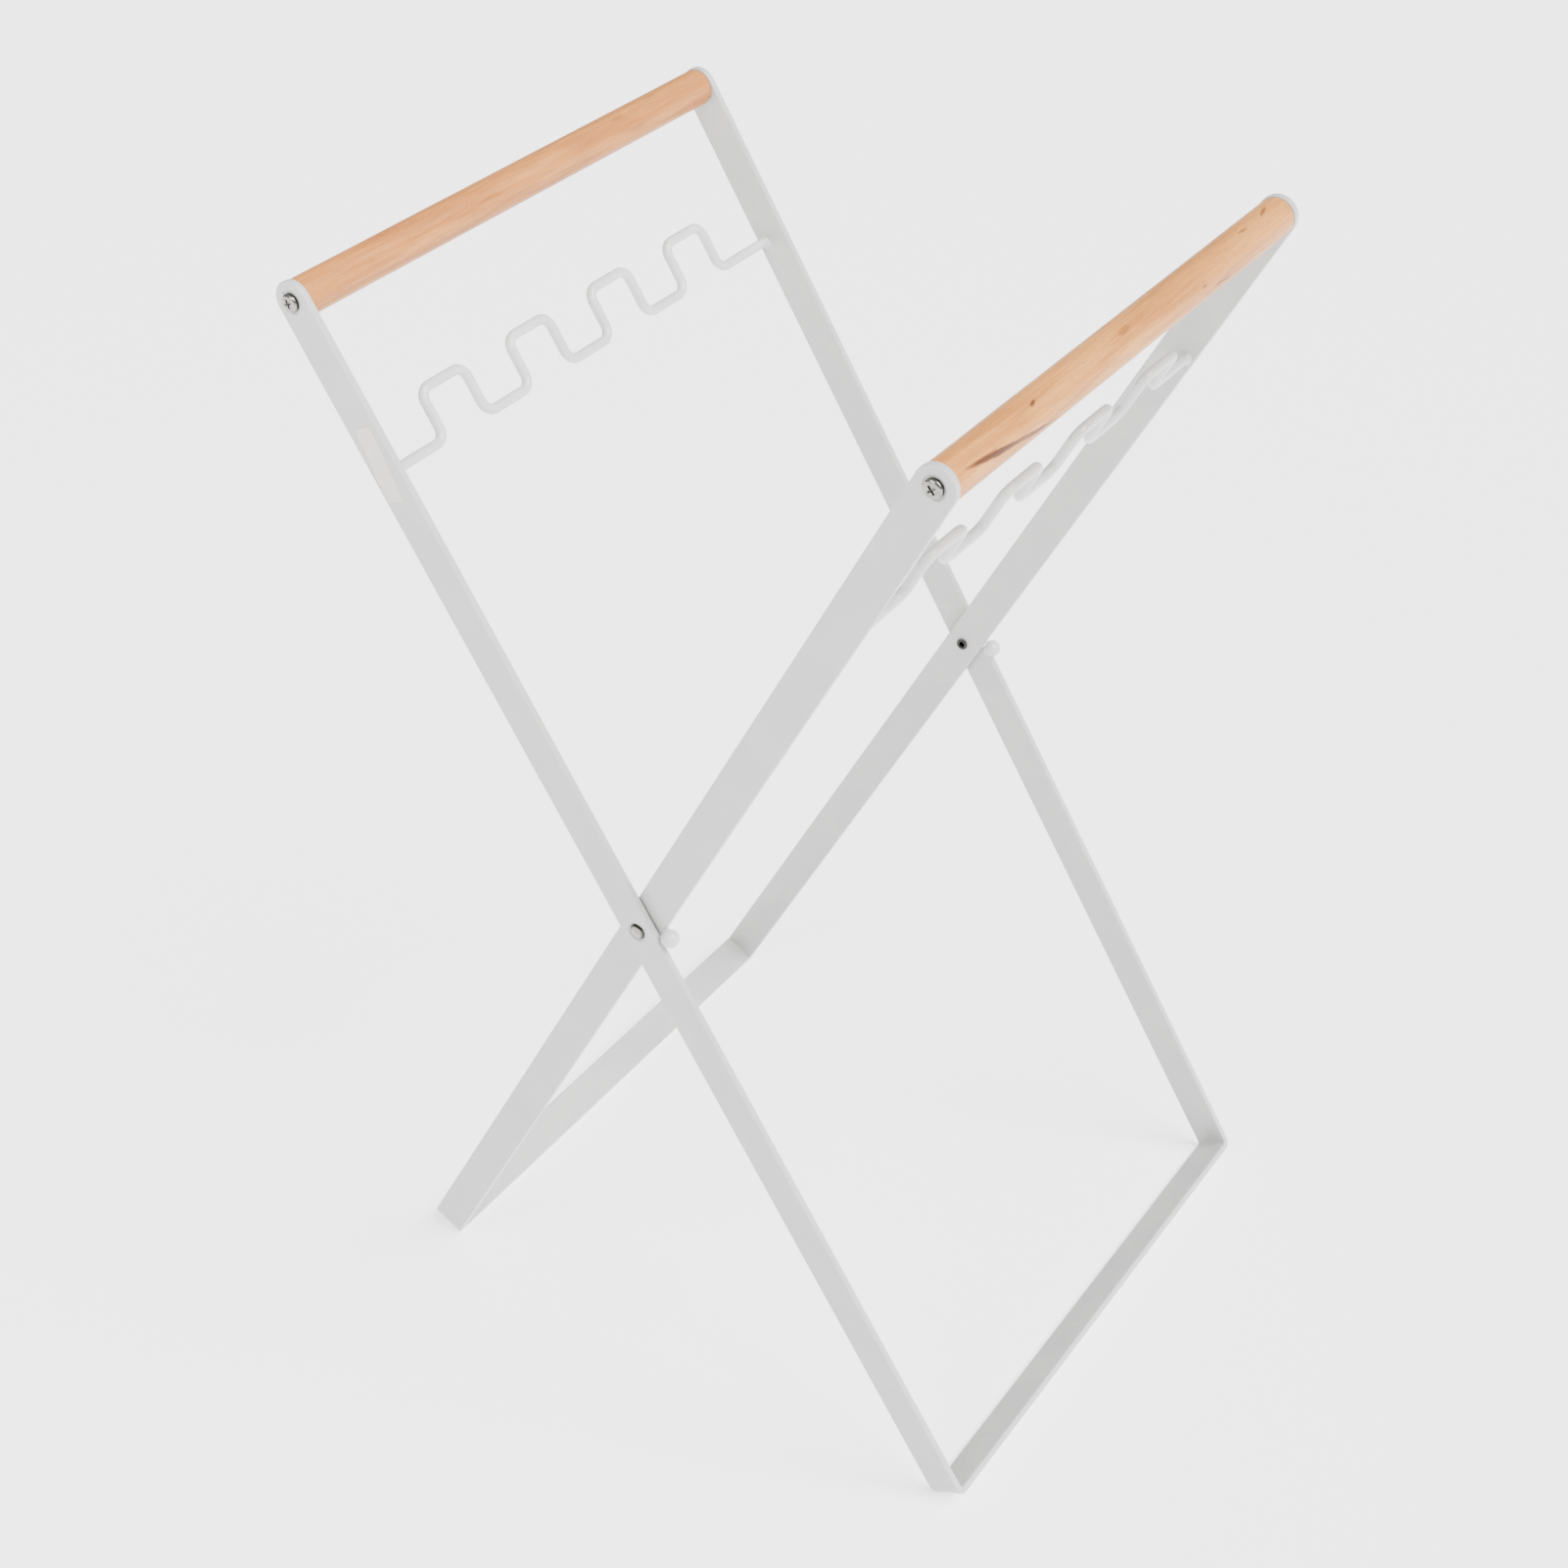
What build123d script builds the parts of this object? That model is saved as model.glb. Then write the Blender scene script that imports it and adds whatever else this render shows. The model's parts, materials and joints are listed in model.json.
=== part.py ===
"""Folding X-frame stand: two bent flat-bar frames riveted where they cross."""

import os
from math import cos, radians, sin

from build123d import *

# ---------------------------------------------------------------- dimensions
# Millimetres. X runs along the handles, Z is up, Y is the way the stand opens.
# The origin is on the floor under the middle of the opened stand.

opening_angle = 60.0  # between the two frames when the stand is open

# Flat bar frames
outer_width = 250.0  # over the outside faces of the outer legs
bar_width = 16.0
bar_thickness = 3.0
bar_edge_radius = 0.6
bend_inner_radius = 1.2
leg_gap = 0.75  # between an outer leg and the inner leg beside it
pivot_to_handle = 272.0  # pivot axis to handle axis, along a leg
pivot_to_foot = 286.0  # pivot axis to the underside of the crossbar

# Shallow round dishes pressed into the outside faces around each fixing
dish_diameter = 9.0
dish_depth = 0.3

# Handles and their screws
handle_diameter = 15.2
handle_end_radius = 0.8
screw_head_diameter = 7.4
screw_head_height = 2.3
screw_head_edge = 1.1
screw_shank_diameter = 3.6
screw_thread_diameter = 4.2
screw_thread_root = 3.0
screw_thread_pitch = 1.8
screw_thread_turns = 11
screw_tip_length = 4.0
screw_hole_clearance = 0.3  # on the radius, through the leg
pilot_hole_diameter = 3.2
pilot_hole_end_gap = 2.0
recess_width = 1.1
recess_length = 4.2
recess_depth = 1.3

# Pivot rivets and spacer washers
rivet_diameter = 4.0
rivet_head_diameter = 7.2
rivet_head_height = 1.2
rivet_running_clearance = 0.05  # on the radius, in the inner leg
rivet_tail_diameter = 5.4
rivet_tail_height = 0.9
rivet_tail_clearance = 0.15
rivet_bore_diameter = 2.4
rivet_bore_depth = 4.0
washer_diameter = 9.0
washer_thickness = 0.55

# Hook wires
wire_diameter = 4.2
outer_wire_drop = 71.0  # handle axis to the low runs, along a leg
inner_wire_drop = 74.5
hump_height = 20.5
hump_width = 24.5
valley_width = 26.5
hump_count = 4
wire_bend_radius = 5.0
wire_setback = 4.2  # behind the middle of the bar, away from the other frame
weld_bead = 1.0  # wider than the wire, on the radius
weld_bead_length = 1.5

# Opening stops
stop_diameter = 7.5
stop_neck_diameter = 2.8
stop_inset = 3.4  # ball centre, in from the outside face of the outer leg
stop_clearance = 0.25

# Blank label
label_length = 30.0
label_width = 9.0
label_thickness = 0.15
label_tilt = 7.0
label_shift = 0.8
label_drop = 66.0  # handle axis to the label's middle

# ------------------------------------------------------------ derived values
half_angle = opening_angle / 2
inner_width = outer_width - 2 * (bar_thickness + leg_gap)
pivot_height = (
    (pivot_to_foot - bar_edge_radius) * cos(radians(half_angle))
    + (bar_width / 2 - bar_edge_radius) * sin(radians(half_angle))
    + bar_edge_radius
)
pivot_point = Vector(0, 0, pivot_height)
hump_pitch = hump_width + valley_width
screw_reach = screw_thread_pitch * screw_thread_turns + screw_tip_length


class FrameAxes:
    """Directions of one frame: up its legs and square to its face, towards the front."""

    def __init__(self, lean):
        angle = radians(half_angle) * lean
        self.up = Vector(0, sin(angle), cos(angle))
        self.face = Vector(0, -cos(angle), sin(angle))

    def at(self, level, across=0.0, x=0.0):
        """Point in the room from pivot-centred values along the frame's own directions."""
        return pivot_point + self.up * level + self.face * across + Vector(x, 0, 0)

    def front(self, level=0.0, across=0.0):
        """Plane of the frame: x along the handle, y up the legs."""
        return Plane(origin=self.at(level, across), x_dir=(1, 0, 0), z_dir=self.face)

    def side(self, x, level=0.0, across=0.0, turn=0.0):
        """Plane square to the handle at x, facing outwards, its x direction up the leg."""
        facing = 1 if x > 0 else -1
        x_dir = self.up.rotate(Axis.X, turn)
        return Plane(origin=self.at(level, across, x), x_dir=x_dir, z_dir=(facing, 0, 0))


outer_axes = FrameAxes(1)
inner_axes = FrameAxes(-1)
sides = (("left", -1), ("right", 1))

os.makedirs("parts", exist_ok=True)


def save(part, label):
    part.label = label
    export_step(part, f"parts/{label}.step")


# -------------------------------------------------------------------- frames
def bent_frame(axes, width, pivot_hole_radius, dished_levels):
    """U of flat bar with rounded leg tops, standing on its crossbar."""
    leg_length = pivot_to_foot + pivot_to_handle + bar_width
    with BuildPart() as frame:
        with BuildSketch(axes.front(level=-pivot_to_foot)) as outline:
            Rectangle(width, leg_length, align=(Align.CENTER, Align.MIN))
            fillet(outline.vertices().group_by(Axis.Y)[0], bend_inner_radius + bar_thickness)
            with Locations((0, bar_thickness)):
                Rectangle(
                    width - 2 * bar_thickness,
                    leg_length,
                    align=(Align.CENTER, Align.MIN),
                    mode=Mode.SUBTRACT,
                )
            inner_level = (0.99 * bar_thickness, 1.01 * bar_thickness)
            fillet(outline.vertices().filter_by_position(Axis.Y, *inner_level), bend_inner_radius)
        extrude(amount=bar_width / 2, both=True)

        # Leg tops cut to a half circle about the handle axis
        with BuildSketch(axes.side(width, level=pivot_to_handle)):
            Circle(bar_width / 2)
            Rectangle(2 * leg_length, bar_width, align=(Align.MAX, Align.CENTER))
        extrude(amount=-2 * width, mode=Mode.INTERSECT)

        # Long edges of the bar eased all round, the tangent seams left alone
        across_bar = frame.edges().filter_by(Axis((0, 0, 0), axes.face))
        through_bar = frame.edges().filter_by(lambda edge: edge.length < 1.01 * bar_thickness)
        fillet(frame.edges() - across_bar - through_bar.filter_by(Axis.X), bar_edge_radius)

        # Holes for the handle screws and the pivot rivets, from the outside faces
        screw_hole_radius = screw_shank_diameter / 2 + screw_hole_clearance
        for level, radius in ((pivot_to_handle, screw_hole_radius), (0, pivot_hole_radius)):
            for _, side in sides:
                with Locations(axes.side(side * width / 2, level=level)):
                    Hole(radius, depth=2 * bar_thickness)
                    if level in dished_levels:
                        Hole(dish_diameter / 2, depth=dish_depth)
    return frame


outer_frame = bent_frame(outer_axes, outer_width, rivet_diameter / 2, (0, pivot_to_handle))
save(outer_frame.part, "outer_frame")

inner_frame = bent_frame(
    inner_axes, inner_width, rivet_diameter / 2 + rivet_running_clearance, (pivot_to_handle,)
)
save(inner_frame.part, "inner_frame")


# ---------------------------------------------------------------- hook wires
def hook_wire(axes, span, level, across):
    """Square-wave wire with rounded corners between the two legs of one frame."""
    route = [(-span / 2, 0)]
    for hump in range(hump_count):
        middle = (hump - (hump_count - 1) / 2) * hump_pitch
        left = middle - hump_width / 2
        right = middle + hump_width / 2
        route += [(left, 0), (left, hump_height), (right, hump_height), (right, 0)]
    route += [(span / 2, 0)]
    with BuildPart() as wire:
        with BuildLine(axes.front(level=level, across=across)) as path:
            FilletPolyline(*route, radius=wire_bend_radius)
        with BuildSketch(axes.side(-span / 2, level=level, across=across)):
            Circle(wire_diameter / 2)
        sweep(path=path.line)

        # Weld beads where the wire meets the legs
        for _, side in sides:
            end = axes.side(side * span / 2, level=level, across=across)
            with Locations(-end):
                Cone(
                    wire_diameter / 2 + weld_bead,
                    wire_diameter / 2,
                    weld_bead_length,
                    align=(Align.CENTER, Align.CENTER, Align.MIN),
                )
    return wire


outer_span = outer_width - 2 * bar_thickness
inner_span = inner_width - 2 * bar_thickness

outer_hook_wire = hook_wire(outer_axes, outer_span, pivot_to_handle - outer_wire_drop, -wire_setback)
save(outer_hook_wire.part, "outer_hook_wire")

inner_hook_wire = hook_wire(inner_axes, inner_span, pivot_to_handle - inner_wire_drop, wire_setback)
save(inner_hook_wire.part, "inner_hook_wire")


# ------------------------------------------------------- handles and screws
def handle(axes, span):
    """Round dowel between the leg tops, with a pilot hole in each end."""
    with BuildPart() as dowel:
        with BuildSketch(axes.side(-span / 2, level=pivot_to_handle)):
            Circle(handle_diameter / 2)
        extrude(amount=-span)
        fillet(dowel.edges(), handle_end_radius)
        for _, side in sides:
            with Locations(axes.side(side * span / 2, level=pivot_to_handle)):
                Hole(pilot_hole_diameter / 2, depth=screw_reach + pilot_hole_end_gap)
    return dowel


outer_handle = handle(outer_axes, outer_span)
save(outer_handle.part, "outer_handle")

inner_handle = handle(inner_axes, inner_span)
save(inner_handle.part, "inner_handle")


def turning_plane(axes, x, level):
    """Plane for a lathe profile: x is the radius, y points outwards along the handle axis."""
    side = axes.side(x, level=level)
    return Plane(origin=side.origin, x_dir=side.x_dir, z_dir=side.x_dir.cross(side.z_dir))


def wood_screw(axes, x):
    """Pan head screw seated in the dish of a leg, threaded into the handle."""
    seat = -dish_depth
    wood = -bar_thickness
    tip = wood - screw_reach
    with BuildPart() as screw:
        with BuildSketch(turning_plane(axes, x, pivot_to_handle)):
            with BuildLine():
                profile = [(0, seat), (screw_head_diameter / 2, seat)]
                profile += [(screw_head_diameter / 2, seat + screw_head_height - screw_head_edge)]
                edge = (screw_head_diameter / 2 - screw_head_edge, seat + screw_head_height)
                Polyline(*profile)
                RadiusArc(profile[-1], edge, -screw_head_edge)
                Line(edge, (0, seat + screw_head_height))
                Line((0, seat + screw_head_height), (0, seat))
            make_face()
            with BuildLine():
                core = [(0, seat), (screw_shank_diameter / 2, seat), (screw_shank_diameter / 2, wood)]
                core += [(screw_thread_root / 2, wood)]
                for turn in range(screw_thread_turns):
                    crest = wood - (turn + 0.5) * screw_thread_pitch
                    core += [(screw_thread_diameter / 2, crest)]
                    core += [(screw_thread_root / 2, crest - screw_thread_pitch / 2)]
                Polyline(*core, (0, tip), close=True)
            make_face()
        revolve(axis=Axis(axes.side(x, level=pivot_to_handle).origin, (1, 0, 0)))

        # Cross recess
        top = axes.side(x, level=pivot_to_handle, turn=45).offset(seat + screw_head_height)
        with BuildSketch(top):
            Rectangle(recess_length, recess_width)
            Rectangle(recess_width, recess_length)
        extrude(amount=-recess_depth, mode=Mode.SUBTRACT)
    return screw


for name, axes, width in (("outer", outer_axes, outer_width), ("inner", inner_axes, inner_width)):
    for side_name, side in sides:
        handle_screw = wood_screw(axes, side * width / 2)
        save(handle_screw.part, f"{name}_handle_screw_{side_name}")


# ------------------------------------------------------- pivots and washers
def pivot_rivet(x):
    """Semi-tubular rivet: domed head outside, rolled tail inside the inner leg."""
    seat = -dish_depth
    crown = seat + rivet_head_height
    inner_face = -2 * bar_thickness - leg_gap
    tail = inner_face - rivet_tail_clearance
    end = tail - rivet_tail_height
    lip = rivet_tail_height / 2
    with BuildPart() as rivet:
        with BuildSketch(turning_plane(outer_axes, x, 0)):
            with BuildLine():
                ThreePointArc(
                    (0, crown),
                    (0.6 * rivet_head_diameter / 2, seat + 0.8 * rivet_head_height),
                    (rivet_head_diameter / 2, seat + 0.25 * rivet_head_height),
                )
                Polyline(
                    (rivet_head_diameter / 2, seat + 0.25 * rivet_head_height),
                    (rivet_head_diameter / 2, seat),
                    (rivet_diameter / 2, seat),
                    (rivet_diameter / 2, tail),
                    (rivet_tail_diameter / 2 - lip, tail),
                )
                ThreePointArc(
                    (rivet_tail_diameter / 2 - lip, tail),
                    (rivet_tail_diameter / 2, tail - lip),
                    (rivet_tail_diameter / 2 - lip, end),
                )
                Polyline(
                    (rivet_tail_diameter / 2 - lip, end),
                    (rivet_bore_diameter / 2 + 0.5 * lip, end),
                    (rivet_bore_diameter / 2, end + lip),
                    (rivet_bore_diameter / 2, end + rivet_bore_depth),
                    (0, end + rivet_bore_depth + rivet_bore_diameter / 4),
                    (0, crown),
                )
            make_face()
        revolve(axis=Axis(outer_axes.side(x).origin, (1, 0, 0)))
    return rivet


def spacer_washer(x):
    """Flat ring on the rivet, in the gap between the two legs."""
    with BuildPart() as washer:
        with BuildSketch(outer_axes.side(x).offset(-bar_thickness)):
            Circle(washer_diameter / 2)
            Circle(rivet_diameter / 2, mode=Mode.SUBTRACT)
        extrude(amount=-washer_thickness)
    return washer


# ----------------------------------------------------------------- the stops
def opening_stop(side):
    """Ball necked onto the edge of an inner leg, meeting the edge of the outer leg."""
    reach = bar_width / 2 + stop_diameter / 2
    along = reach + stop_clearance - reach * inner_axes.face.dot(outer_axes.face)
    level = along / inner_axes.up.dot(outer_axes.face)
    leg_middle = side * (inner_width - bar_thickness) / 2
    ball_middle = side * (outer_width / 2 - stop_inset)
    foot = inner_axes.at(level, bar_width / 2 - bar_edge_radius, leg_middle)
    centre = inner_axes.at(level, reach, ball_middle)
    with BuildPart() as stop:
        with BuildSketch(Plane(origin=foot, z_dir=centre - foot)):
            Circle(stop_neck_diameter / 2)
        extrude(amount=(centre - foot).length)
        with Locations(centre):
            Sphere(stop_diameter / 2)
        add(inner_frame.part, mode=Mode.SUBTRACT)
    return stop


for side_name, side in sides:
    save(pivot_rivet(side * outer_width / 2).part, f"pivot_rivet_{side_name}")
    save(spacer_washer(side * outer_width / 2).part, f"pivot_washer_{side_name}")
    save(opening_stop(side).part, f"stop_ball_{side_name}")

# --------------------------------------------------------------------- label
label_plane = outer_axes.side(
    -outer_width / 2, level=pivot_to_handle - label_drop, across=-label_shift, turn=label_tilt
)
with BuildPart() as blank_label:
    with BuildSketch(label_plane):
        RectangleRounded(label_length, label_width, label_width / 8)
    extrude(amount=label_thickness)
save(blank_label.part, "blank_label")
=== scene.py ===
import json
from math import cos, pi, radians, sin, tan

import bmesh
import bpy
from mathutils import Matrix, Vector, noise


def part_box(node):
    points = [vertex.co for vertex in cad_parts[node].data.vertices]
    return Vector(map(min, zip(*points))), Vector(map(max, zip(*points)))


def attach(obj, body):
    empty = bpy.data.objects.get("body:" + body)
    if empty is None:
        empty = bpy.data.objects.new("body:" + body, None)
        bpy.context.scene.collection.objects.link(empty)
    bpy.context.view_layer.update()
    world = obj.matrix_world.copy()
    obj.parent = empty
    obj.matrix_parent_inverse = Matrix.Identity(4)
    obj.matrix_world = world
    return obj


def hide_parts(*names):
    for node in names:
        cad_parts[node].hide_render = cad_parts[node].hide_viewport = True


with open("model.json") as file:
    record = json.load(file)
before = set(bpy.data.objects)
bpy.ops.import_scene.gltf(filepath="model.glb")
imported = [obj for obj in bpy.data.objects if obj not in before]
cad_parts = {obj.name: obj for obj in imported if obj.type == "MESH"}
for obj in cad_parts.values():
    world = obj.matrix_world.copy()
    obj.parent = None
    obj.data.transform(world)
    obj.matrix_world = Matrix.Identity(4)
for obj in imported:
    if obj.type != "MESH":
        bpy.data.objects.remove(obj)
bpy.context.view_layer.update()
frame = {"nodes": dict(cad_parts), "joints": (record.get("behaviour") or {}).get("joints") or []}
nodes = frame["nodes"]
MM = 0.001

# ------------------------------------------------------------ bent bar frames
# Two U-shaped frames of 16 x 3 mm mild steel flat bar, bent cold at the feet, with the leg tops
# sheared round and their edges tumbled. Hung on a line and powder coated white after welding.


def linear(colour):
    """An sRGB hex colour as the linear values that a shader takes."""
    channels = [int(colour[i : i + 2], 16) / 255 for i in (1, 3, 5)]
    bent = [c / 12.92 if c <= 0.04045 else ((c + 0.055) / 1.055) ** 2.4 for c in channels]
    return (*bent, 1.0)


def add(tree, kind, sockets=(), **settings):
    """Adds a node with its settings. An input is set to a value or linked to another's output."""
    made = tree.nodes.new("ShaderNode" + kind)
    for name, value in settings.items():
        setattr(made, name, value)
    for name, value in dict(sockets).items():
        if isinstance(value, bpy.types.NodeSocket):
            tree.links.new(value, made.inputs[name])
        else:
            made.inputs[name].default_value = value
    return made


def finish_named(name):
    """A new material, its node tree and its surface shader."""
    material = bpy.data.materials.new(name)
    material.use_nodes = True
    return material, material.node_tree, material.node_tree.nodes["Principled BSDF"]


def shades(tree, factor, *stops):
    """Colour ramp from (position, hex) stops."""
    ramp = add(tree, "ValToRGB", {"Fac": factor})
    while len(ramp.color_ramp.elements) < len(stops):
        ramp.color_ramp.elements.new(0.5)
    for element, (position, colour) in zip(ramp.color_ramp.elements, stops):
        element.position = position
        element.color = linear(colour)
    return ramp.outputs["Color"]


def span_of(tree, value, low, high, to_low, to_high):
    """Stretches a value from one range to another."""
    limits = {"From Min": low, "From Max": high, "To Min": to_low, "To Max": to_high}
    return add(tree, "MapRange", {"Value": value, **limits}).outputs["Result"]


def mottled(tree, place, size, detail=2.0):
    """Soft blotches about as wide as the size given."""
    sockets = {"Vector": place, "Scale": 1 / size, "Detail": detail}
    return add(tree, "TexNoise", sockets).outputs["Fac"]


def roughened(tree, shader, height, strength, depth):
    """Gives the surface this relief."""
    relief = add(tree, "Bump", {"Height": height, "Strength": strength, "Distance": depth})
    tree.links.new(relief.outputs["Normal"], shader.inputs["Normal"])


def blended(tree, factor, under, over):
    """Two colours mixed by a factor."""
    colours = {0: factor, 6: under, 7: over}
    return add(tree, "Mix", colours, data_type="RGBA").outputs[2]


def wear(node, material):
    """Gives a CAD node that is shown as it is this finish."""
    nodes[node].data.materials.clear()
    nodes[node].data.materials.append(material)


def powder_coat(name, thin, thick, fleck, roughness):
    """Polyester powder coat: baked in an oven, so it has a soft gloss and a fine orange peel,
    a slightly uneven film and a few cured-in dust flecks."""
    material, tree, shader = finish_named(name)
    place = add(tree, "TexCoord").outputs["Object"]
    film = mottled(tree, place, 22 * MM)
    dust = add(tree, "TexVoronoi", {"Vector": place, "Scale": 1 / (7 * MM)}).outputs["Distance"]
    specks = span_of(tree, dust, 0.03, 0.05, 0.5, 0.0)
    coat = blended(tree, specks, shades(tree, film, (0.35, thin), (0.65, thick)), linear(fleck))
    tree.links.new(coat, shader.inputs["Base Color"])
    dullness = span_of(tree, film, 0.3, 0.7, roughness - 0.05, roughness + 0.05)
    tree.links.new(dullness, shader.inputs["Roughness"])
    # the real peel is about 1 mm across and a few microns deep, drawn a little deeper to show
    roughened(tree, shader, mottled(tree, place, 1.3 * MM, 1.0), 0.2, 0.05 * MM)
    shader.inputs["IOR"].default_value = 1.5
    return material


white_coat = powder_coat("white_powder_coat", "#B6B8B6", "#BBBDBA", "#9E9F9B", 0.26)
wear("outer_frame", white_coat)
wear("inner_frame", white_coat)

# ----------------------------------------------------------------- hook wires
# One 4 mm drawn wire per frame, bent on a jig into four square humps that keep bag loops apart.
# Each end is fusion welded to the inside of a leg, and the coat has pooled in the weld's corner.

wire_radius = 2.1 * MM
bend_radius = 5.0 * MM
hump_height = 20.5 * MM
hump_width = 24.5 * MM
notch_width = 26.5 * MM
weld_radius = 3.1 * MM
weld_length = 2.4 * MM
flare_steps = 6
bend_steps = 8
lean = radians(30)


def shown(name, mesh, material, body, slot, *stood_for):
    """Turns a finished bmesh into a smooth piece that rides on a body and stands for CAD nodes."""
    data = bpy.data.meshes.new(name)
    mesh.to_mesh(data)
    mesh.free()
    data.materials.append(material)
    data.shade_smooth()
    data.set_sharp_from_angle(angle=radians(38))
    piece = bpy.data.objects.new(name, data)
    bpy.context.scene.collection.objects.link(piece)
    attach(piece, body)
    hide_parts(*stood_for)
    return piece


def hook_wire(node, body, side):
    """Round section drawn out along the humps, flared into a weld at each end."""
    low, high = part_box(node)
    span = high.x - low.x
    run_y = low.y + weld_radius if side > 0 else high.y - weld_radius
    start = Vector((low.x, run_y, low.z + weld_radius))
    along = Vector((1, 0, 0))
    up = Vector((0, side * sin(lean), cos(lean)))

    corners = [(0.0, 0.0)]
    for hump in range(4):
        middle = span / 2 + (hump - 1.5) * (hump_width + notch_width)
        left, right = middle - hump_width / 2, middle + hump_width / 2
        corners += [(left, 0.0), (left, hump_height), (right, hump_height), (right, 0.0)]
    corners = [Vector(corner) for corner in corners + [(span, 0.0)]]

    # stations along the wire: place in its own plane, direction, radius
    flares = []
    for step in range(flare_steps + 1):
        share = step / flare_steps
        flare = (weld_radius - wire_radius) * (1 - sin(pi / 2 * share))
        flares.append((weld_length * share, wire_radius + flare))
    stations = [(Vector((reach, 0)), Vector((1, 0)), radius) for reach, radius in flares]
    for before, corner, after in zip(corners, corners[1:], corners[2:]):
        come, leave = (corner - before).normalized(), (after - corner).normalized()
        centre = corner + (leave - come) * bend_radius
        for step in range(bend_steps + 1):
            turn = pi / 2 * step / bend_steps
            spot = centre - leave * bend_radius * cos(turn) + come * bend_radius * sin(turn)
            stations.append((spot, come * cos(turn) + leave * sin(turn), wire_radius))
    for reach, radius in reversed(flares):
        stations.append((Vector((span - reach, 0)), Vector((1, 0)), radius))

    places = []
    for spot, way, radius in stations:
        forward = along * way.x + up * way.y
        across = along.cross(up)
        turned = Matrix((across, forward.cross(across), forward)).transposed().to_4x4()
        at = Matrix.Translation(start + along * spot.x + up * spot.y)
        places.append(at @ turned @ Matrix.Diagonal((radius, radius, radius, 1)))

    mesh = bmesh.new()
    bmesh.ops.create_circle(mesh, cap_ends=True, radius=1, segments=28, matrix=places[0])
    ring = list(mesh.edges)
    for before, after in zip(places, places[1:]):
        grown = bmesh.ops.extrude_edge_only(mesh, edges=ring)["geom"]
        ends = {item for item in grown if isinstance(item, bmesh.types.BMVert)}
        edges = [item for item in grown if isinstance(item, bmesh.types.BMEdge)]
        ring = [edge for edge in edges if set(edge.verts) <= ends]
        bmesh.ops.transform(mesh, matrix=after @ before.inverted(), verts=list(ends))
    bmesh.ops.contextual_create(mesh, geom=ring)

    # hand welding leaves the bead a little lumpy
    for vert in mesh.verts:
        depth = min(vert.co.x - low.x, high.x - vert.co.x)
        if 0 < depth < weld_length:
            axis_point = Vector((vert.co.x, start.y, start.z))
            lump = noise.noise(vert.co / (1.6 * MM)) * 0.3 * (1 - depth / weld_length)
            vert.co = axis_point + (vert.co - axis_point) * (1 + min(lump, 0.06))
    bmesh.ops.recalc_face_normals(mesh, faces=mesh.faces)
    return shown(node + "_bent", mesh, lit_copy_coat, body, "painted_steel", node)


# painted light: a lighter copy of the same white coat for the round wires and stop balls, standing
# in for the extra light their rounded tops catch over the flat legs
lit_copy_coat = powder_coat("white_powder_coat_lit_copy", "#C6C8C7", "#CDCFCE", "#B0B1AE", 0.22)
hook_wire("outer_hook_wire", "outer", 1)
hook_wire("inner_hook_wire", "inner", -1)

# -------------------------------------------------------------------- handles
# Beech dowels, 15 mm, turned and sanded with their ends eased, then sealed with a thin clear
# lacquer. Each is held between the leg tops by a screw driven into its end grain.

end_round = 0.8 * MM
end_steps = 6
rings = 60


def dowel(node, body, material):
    """A turned rod: its outline spun about its own axis."""
    low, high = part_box(node)
    centre = (low + high) / 2
    radius = (high.z - low.z) / 2
    outline = [(low.x, 0.0)]
    for step in range(end_steps + 1):
        turn = pi / 2 * step / end_steps
        outline.append((low.x + end_round * (1 - cos(turn)), radius - end_round * (1 - sin(turn))))
    body_start, body_end = low.x + end_round, high.x - end_round
    for step in range(1, rings):
        reach = body_start + (body_end - body_start) * step / rings
        # sanding by hand leaves it a few hundredths of a millimetre out of true
        swell = 0.004 * noise.noise((reach / (26 * MM), centre.y * 50, 3))
        outline.append((reach, radius * (1 + swell)))
    eased_end = outline[: end_steps + 2]
    outline += [(low.x + high.x - reach, size) for reach, size in reversed(eased_end)]
    mesh = bmesh.new()
    verts = [mesh.verts.new((reach, centre.y, centre.z + size)) for reach, size in outline]
    edges = [mesh.edges.new(pair) for pair in zip(verts, verts[1:])]
    whole_turn = {"axis": (1, 0, 0), "angle": 2 * pi, "steps": 72, "use_merge": True}
    bmesh.ops.spin(mesh, geom=verts + edges, cent=centre, **whole_turn)
    bmesh.ops.remove_doubles(mesh, verts=mesh.verts, dist=0.001 * MM)
    bmesh.ops.recalc_face_normals(mesh, faces=mesh.faces)
    return shown(node + "_turned", mesh, material, body, "beech", node)


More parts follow.
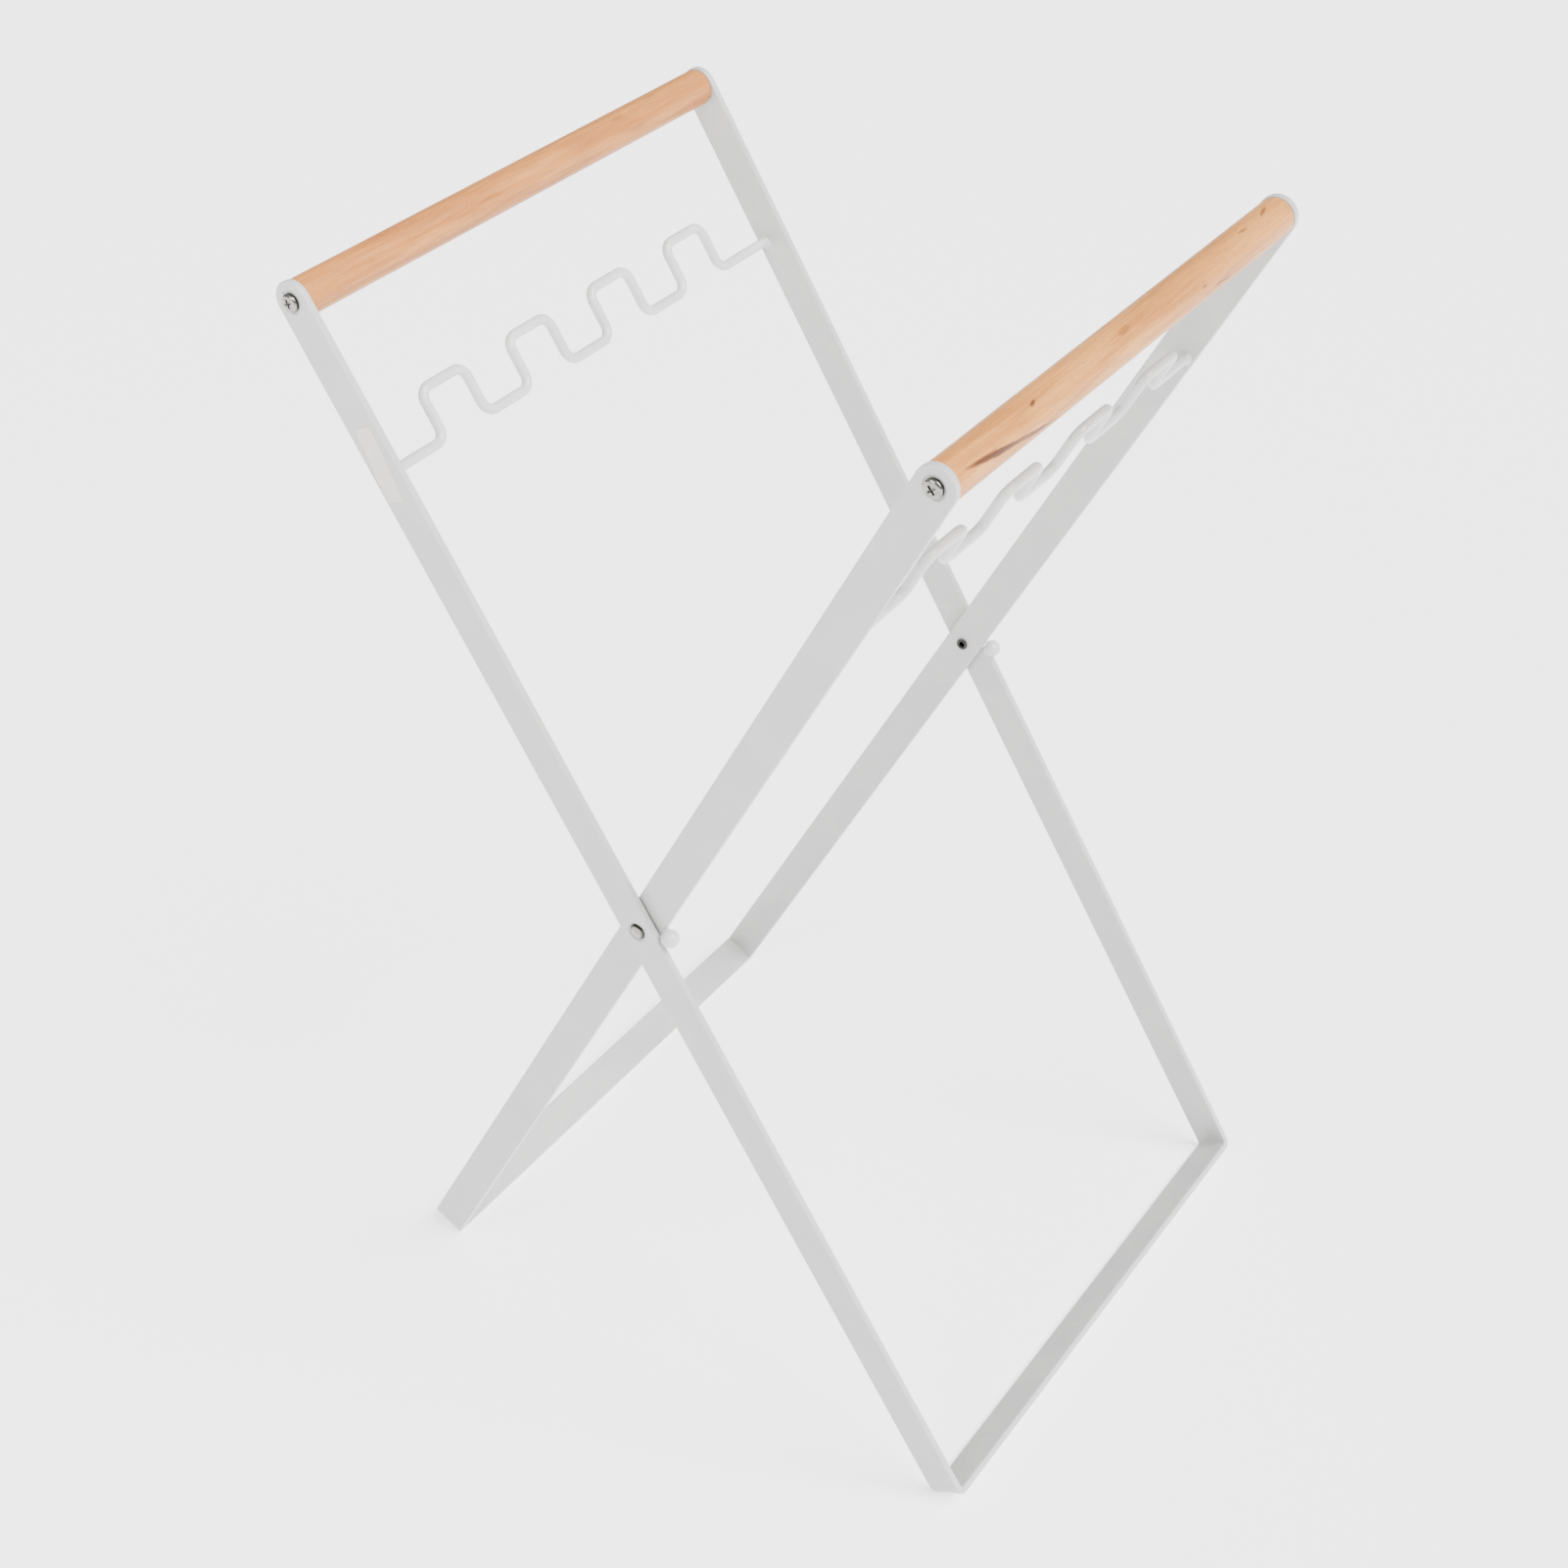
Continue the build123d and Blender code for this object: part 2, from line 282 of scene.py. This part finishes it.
def beech(name, node, light, middle, deep, marks):
    """Steamed beech along the grain: broad soft bands, fine fibres, the short dark ray flecks that
    beech always shows, and this rod's own mineral streaks and pin knots under a satin lacquer.
    A mark is (x mm, turn deg, half length mm, half width mm, slant deg per mm, strength)."""
    material, tree, shader = finish_named(name)
    low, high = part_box(node)
    centre = (low + high) / 2
    radius = (high.z - low.z) / 2
    place = add(tree, "TexCoord").outputs["Object"]

    def grain(along, across, detail, twist=0.0):
        stretch = (1 / (along * MM), 1 / (across * MM), 1 / (across * MM))
        laid = add(tree, "Mapping", {"Vector": place, "Scale": stretch}).outputs["Vector"]
        sockets = {"Vector": laid, "Scale": 1.0, "Detail": detail, "Distortion": twist}
        return add(tree, "TexNoise", sockets).outputs["Fac"]

    bands = grain(75, 5.5, 3.0, 0.6)
    fibres = grain(16, 0.7, 3.0)
    # real ray flecks are finer still, and are drawn as coarse as they need to be to show
    flecks = grain(2.2, 0.45, 1.0)
    wood = shades(tree, bands, (0.3, light), (0.5, middle), (0.72, deep))
    fine = shades(tree, fibres, (0.35, "#CFCFCF"), (0.65, "#FFFFFF"))
    over = {0: 0.55, 6: wood, 7: fine}
    wood = add(tree, "Mix", over, data_type="RGBA", blend_type="MULTIPLY").outputs[2]
    wood = blended(tree, span_of(tree, flecks, 0.6, 0.7, 0.0, 0.34), wood, linear("#8E5228"))

    # place on the rod's skin: x along it and turn round it, in mm
    parts = add(tree, "SeparateXYZ", {0: place}).outputs

    def reckon(kind, first, second, third=0.0):
        return add(tree, "Math", {0: first, 1: second, 2: third}, operation=kind).outputs[0]

    reach = reckon("MULTIPLY", parts["X"], 1 / MM)
    height = reckon("SUBTRACT", parts["Z"], centre.z)
    depth = reckon("SUBTRACT", parts["Y"], centre.y)
    turn = reckon("ARCTAN2", height, depth)
    # marks follow the fibres, up to a quarter of a millimetre to either side
    wander = span_of(tree, grain(9, 2.0, 2.0), 0.3, 0.7, -0.25, 0.25)
    for x, angle, half_length, half_width, slant, strength in marks:
        out = reckon("SUBTRACT", reach, x)
        # wrapped, so that a mark near the seam of the turn isn't cut in two
        swing = reckon("WRAP", reckon("SUBTRACT", turn, radians(angle)), pi, -pi)
        arc = reckon("MULTIPLY_ADD", swing, radius / MM, wander)
        drift = reckon("MULTIPLY_ADD", out, -radians(slant) * radius / MM, arc)
        lengthwise = reckon("POWER", reckon("DIVIDE", out, half_length), 2.0)
        crosswise = reckon("POWER", reckon("DIVIDE", drift, half_width), 2.0)
        apart = reckon("ADD", lengthwise, crosswise)
        shade = span_of(tree, apart, 0.25, 1.0, strength, 0.0)
        wood = blended(tree, shade, wood, linear("#54290D"))

    tree.links.new(wood, shader.inputs["Base Color"])
    tree.links.new(span_of(tree, fibres, 0.3, 0.7, 0.5, 0.4), shader.inputs["Roughness"])
    roughened(tree, shader, fibres, 0.25, 0.05 * MM)
    shader.inputs["IOR"].default_value = 1.5
    shader.inputs["Specular IOR Level"].default_value = 0.35
    return material


warm_beech = beech(
    "warm_beech",
    "outer_handle",
    "#CE8A48",
    "#C27C3C",
    "#AC672E",
    [(62, 118, 6, 1.2, 0.0, 0.25), (-20, 150, 9, 1.0, 0.2, 0.2), (88, 100, 4, 0.8, 0.0, 0.3)],
)
streaked_beech = beech(
    "streaked_beech",
    "inner_handle",
    "#E19C52",
    "#D58F47",
    "#BA7534",
    [
        (-82, 176, 31, 1.2, 1.0, 0.85),
        (-98, 160, 17, 1.3, 1.0, 0.95),
        (-68, 119, 2.4, 0.8, -1.5, 0.9),
        (-7, 119, 5, 1.5, -0.6, 0.4),
        (46, 163, 2, 0.7, 0.0, 0.7),
        (60, 188, 7, 0.6, 0.5, 0.8),
        (85, 106, 4, 1.0, 0.5, 0.5),
        (104, 98, 5, 0.9, -2.0, 0.7),
    ],
)
dowel("outer_handle", "outer", warm_beech)
dowel("inner_handle", "inner", streaked_beech)

# --------------------------------------------------------------- handle screws
# Pan head wood screws, cold headed from steel wire, with a cross recess punched in the head and a
# rolled thread, then bright nickel plated. Each head sits in a shallow dish in the leg.

head_radius = 3.7 * MM
head_height = 2.3 * MM
crown_radius = 2.4 * MM
edge_level = 1.0 * MM
shank_radius = 1.8 * MM
core_radius = 1.5 * MM
crest_radius = 2.1 * MM
thread_pitch = 1.8 * MM
thread_count = 11
thread_start = -2.7 * MM
screw_tip = -26.5 * MM


def bright_metal(name, colour, dull, roughness, head=None):
    """Plated steel: a thin bright skin, softened by tumbling marks and a little tarnish. With a
    head
    given, shade is painted in: the colour darkens round the head's rim and inside its recess. A
    head is given by how far its crown is from the middle of the stand, and how deep the painted
    shade starts."""
    material, tree, shader = finish_named(name)
    place = add(tree, "TexCoord").outputs["Object"]
    stain = mottled(tree, place, 1.8 * MM, 3.0)
    skin = shades(tree, stain, (0.4, colour), (0.75, dull))
    if head:
        crown, deep = head
        along = add(tree, "SeparateXYZ", {0: place}).outputs["X"]
        out = add(tree, "Math", {0: along}, operation="ABSOLUTE").outputs[0]
        painted_rim_shade = span_of(tree, out, crown - deep, crown - deep / 2, 1.0, 0.0)
        # painted shade: round the head's rim and inside its recess the colour goes to #3A3937,
        # standing in for shade and dark reflection
        skin = blended(tree, painted_rim_shade, skin, linear("#3A3937"))
    tree.links.new(skin, shader.inputs["Base Color"])
    dullness = span_of(tree, stain, 0.3, 0.7, roughness, roughness + 0.1)
    tree.links.new(dullness, shader.inputs["Roughness"])
    roughened(tree, shader, mottled(tree, place, 0.3 * MM), 0.12, 0.02 * MM)
    shader.inputs["Metallic"].default_value = 1.0
    return material


def lathed(outline):
    """An outline of (radius, height) spun about Z and closed at its poles."""
    mesh = bmesh.new()
    verts = [mesh.verts.new((size, 0, height)) for size, height in outline]
    edges = [mesh.edges.new(pair) for pair in zip(verts, verts[1:])]
    whole_turn = {"axis": (0, 0, 1), "angle": 2 * pi, "steps": 48, "use_merge": True}
    bmesh.ops.spin(mesh, geom=verts + edges, cent=(0, 0, 0), **whole_turn)
    bmesh.ops.remove_doubles(mesh, verts=mesh.verts, dist=0.001 * MM)
    bmesh.ops.recalc_face_normals(mesh, faces=mesh.faces)
    return mesh


def on_side(node, side, crown):
    """Turns a lathed piece to stand on a leg's outside face, its crown at the node's outer end.
    crown is how high the crown is above the face."""
    low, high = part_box(node)
    centre = (low + high) / 2
    tip = high.x if side > 0 else low.x
    stand = Matrix.Rotation(side * pi / 2, 4, "Y")
    return Matrix.Translation((tip - side * crown, centre.y, centre.z)) @ stand


def wood_screw(node, body, side, turn, material):
    """Spun head and thread, with the punched recess cut out of the head."""
    outline = [(0, head_height)]
    outline += [(1.2 * MM, head_height - 0.02 * MM), (2.2 * MM, head_height - 0.1 * MM)]
    edge_reach, edge_rise = head_radius - crown_radius, 1.15 * MM
    for step in range(1, 7):
        bow = pi / 2 * step / 6
        size, height = crown_radius + edge_reach * sin(bow), edge_level + edge_rise * cos(bow)
        outline.append((size, height))
    outline += [(head_radius, 0.25 * MM), (head_radius - 0.15 * MM, 0), (shank_radius, 0)]
    outline += [(shank_radius, thread_start), (core_radius, thread_start)]
    for lap in range(thread_count):
        crest = thread_start - (lap + 0.5) * thread_pitch
        outline += [(crest_radius, crest), (core_radius, crest - thread_pitch / 2)]
    outline += [(0, screw_tip)]
    mesh = lathed(outline)
    screw_data = bpy.data.meshes.new(node)
    mesh.to_mesh(screw_data)
    mesh.free()
    blank = bpy.data.objects.new(node + "_blank", screw_data)
    bpy.context.scene.collection.objects.link(blank)
    punches = []
    for wing in range(2):
        # each wing narrows from 3.8 mm at the head's face to 1.4 mm at its bottom, 1.2 mm down
        punch = bmesh.new()
        bmesh.ops.create_cube(punch, size=1)
        for vert in punch.verts:
            deep = vert.co.z < 0
            vert.co.x *= (1.4 if deep else 4.6) * MM
            vert.co.y *= (0.7 if deep else 1.0) * MM
            vert.co.z = head_height + (-1.2 if deep else 0.4) * MM
        bmesh.ops.rotate(punch, verts=punch.verts, matrix=Matrix.Rotation(wing * pi / 2, 3, "Z"))
        punch_data = bpy.data.meshes.new(node)
        punch.to_mesh(punch_data)
        punch.free()
        tool = bpy.data.objects.new(node + "_punch", punch_data)
        bpy.context.scene.collection.objects.link(tool)
        cut = blank.modifiers.new("recess", "BOOLEAN")
        cut.object = tool
        cut.solver = "EXACT"
        punches.append(tool)
    graph = bpy.context.evaluated_depsgraph_get()
    struck = bmesh.new()
    struck.from_object(blank, graph)
    for tool in [blank, *punches]:
        bpy.data.objects.remove(tool)
    bmesh.ops.rotate(struck, verts=struck.verts, matrix=Matrix.Rotation(radians(turn), 3, "Z"))
    bmesh.ops.transform(struck, matrix=on_side(node, side, head_height), verts=struck.verts)
    return shown(node + "_struck", struck, material, body, "plated_screw", node)


for body, turns in (("outer", (20, 65)), ("inner", (38, 10))):
    screw_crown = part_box(body + "_handle_screw_right")[1].x
    finish = "nickel_plated_steel_painted_shade_" + body
    # the head entry paints shade round each screw head's rim and inside its recess
    nickel_plate = bright_metal(finish, "#96948F", "#6F6C67", 0.16, (screw_crown, 1.4 * MM))
    wood_screw(body + "_handle_screw_left", body, -1, turns[0], nickel_plate)
    wood_screw(body + "_handle_screw_right", body, 1, turns[1], nickel_plate)

# --------------------------------------------------------------- pivot rivets
# Semi-tubular steel rivets, nickel plated, pushed through both legs from outside. The hollow tail
# is rolled over inside the inner leg, loose enough for the legs to turn.

rivet_crown = 1.2 * MM


def pivot_rivet(node, side, material):
    """Domed head, plain shank, and a tail rolled outwards round its bore."""
    # radius and height over the leg, in mm
    head = [(0, 1.2), (0.9, 1.16), (1.7, 1.04), (2.4, 0.84)]
    head += [(3.0, 0.58), (3.4, 0.3), (3.6, 0.12), (3.6, 0)]
    shank = [(2, 0), (2, -6.9)]
    tail = [(2.3, -6.9), (2.55, -6.98), (2.7, -7.2), (2.55, -7.42)]
    tail += [(2.2, -7.52), (1.7, -7.48), (1.35, -7.25)]
    bore = [(1.2, -6.9), (1.2, -3.5), (0, -2.9)]
    outline = [(size * MM, height * MM) for size, height in head + shank + tail + bore]
    mesh = lathed(outline)
    bmesh.ops.transform(mesh, matrix=on_side(node, side, rivet_crown), verts=mesh.verts)
    return shown(node + "_set", mesh, material, "outer", "nickel_rivet", node)


crown_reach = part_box("pivot_rivet_right")[1].x
# the head entry paints shade round each rivet head's rim
rivet_plate = bright_metal(
    "tumbled_nickel_plate_painted_shade", "#94918B", "#6B6862", 0.16, (crown_reach, 0.55 * MM)
)
pivot_rivet("pivot_rivet_left", -1, rivet_plate)
pivot_rivet("pivot_rivet_right", 1, rivet_plate)

# -------------------------------------------------------------- pivot washers
# Plain steel washers punched from thin sheet and zinc plated in a barrel, one at each crossing.
# They keep the coated legs from rubbing each other bare.

zinc_plate = bright_metal("zinc_plated_steel", "#A9ABAC", "#85878A", 0.38)
wear("pivot_washer_left", zinc_plate)
wear("pivot_washer_right", zinc_plate)

# -------------------------------------------------------------- opening stops
# Steel balls resistance welded to the front edge of the inner legs by a short neck, and coated
# with the frame; they wear the wires' lighter, painted-light copy of the coat. They meet the outer
# legs and hold the stand open.

# painted light: the balls take the lighter copy of the white coat
wear("stop_ball_left", lit_copy_coat)
wear("stop_ball_right", lit_copy_coat)

# ----------------------------------------------------------------- blank label
# Self-adhesive polypropylene film, die cut with rounded corners and pressed on the outside of
# one leg after coating. It is left blank.


def label_film(name):
    """Matt polypropylene film: warmer than the coat, faintly mottled by its adhesive."""
    material, tree, shader = finish_named(name)
    place = add(tree, "TexCoord").outputs["Object"]
    adhesive = mottled(tree, place, 4 * MM, 3.0)
    film = shades(tree, adhesive, (0.35, "#D0CBC2"), (0.65, "#D6D1C9"))
    tree.links.new(film, shader.inputs["Base Color"])
    roughened(tree, shader, mottled(tree, place, 0.5 * MM), 0.15, 0.02 * MM)
    shader.inputs["Roughness"].default_value = 0.55
    return material


wear("blank_label", label_film("matt_label_film"))

# ----------------------------------------------------- floor, light and camera
# A plain pale sweep of lit acrylic under the stand, a large soft bank above and in front of it,
# and a small softbox by the near leg tops, as in a small product studio.


def plain_floor():
    data = bpy.data.meshes.new("studio_floor")
    mesh = bmesh.new()
    bmesh.ops.create_grid(mesh, x_segments=1, y_segments=1, size=40)
    mesh.to_mesh(data)
    mesh.free()
    floor = bpy.data.objects.new("studio_floor", data)
    bpy.context.scene.collection.objects.link(floor)
    material, tree, shader = finish_named("studio_sweep_acrylic")
    shader.inputs["Base Color"].default_value = linear("#FBFBFB")
    shader.inputs["Roughness"].default_value = 0.9
    shader.inputs["Emission Color"].default_value = (1.0, 1.0, 1.0, 1.0)
    shader.inputs["Emission Strength"].default_value = 1.4
    data.materials.append(material)


plain_floor()


def hung(light, direction, place=(0, 0, 0)):
    """Hangs a light in the studio, shining along a direction."""
    stand = bpy.data.objects.new(light.name, light)
    bpy.context.scene.collection.objects.link(stand)
    stand.location = place
    stand.rotation_euler = Vector(direction).to_track_quat("-Z", "Y").to_euler()


pivot = Vector(frame["joints"][0]["pos_m"])
side_softbox = bpy.data.lights.new("side_softbox", "AREA")
side_softbox.shape = "SQUARE"
side_softbox.size = 0.35
side_softbox.energy = 3.5
softbox_place = Vector((-0.6, 0.1, 0.8))
hung(side_softbox, pivot + Vector((-0.1, 0.1, 0.15)) - softbox_place, softbox_place)
overhead_bank = bpy.data.lights.new("overhead_bank", "SUN")
overhead_bank.energy = 8.0
overhead_bank.angle = radians(40)
hung(overhead_bank, (-0.1, 0.6, -0.79))

world = bpy.data.worlds.new("studio_room")
bpy.context.scene.world = world
world.use_nodes = True
room = world.node_tree.nodes["Background"]
room.inputs["Color"].default_value = (1.0, 1.0, 1.0, 1.0)
room.inputs["Strength"].default_value = 0.55

view = bpy.data.cameras.new("product_view")
view.sensor_width = 36
view_angle = radians(35.777)
view.lens = view.sensor_width / 2 / tan(view_angle / 2)
view.clip_start = 0.05
camera = bpy.data.objects.new("product_view", view)
bpy.context.scene.collection.objects.link(camera)
camera.location = pivot + Vector((-0.6806, -0.4883, 0.6065))
camera.rotation_euler = (radians(53.831), radians(2.294), radians(-55.049))
bpy.context.scene.camera = camera
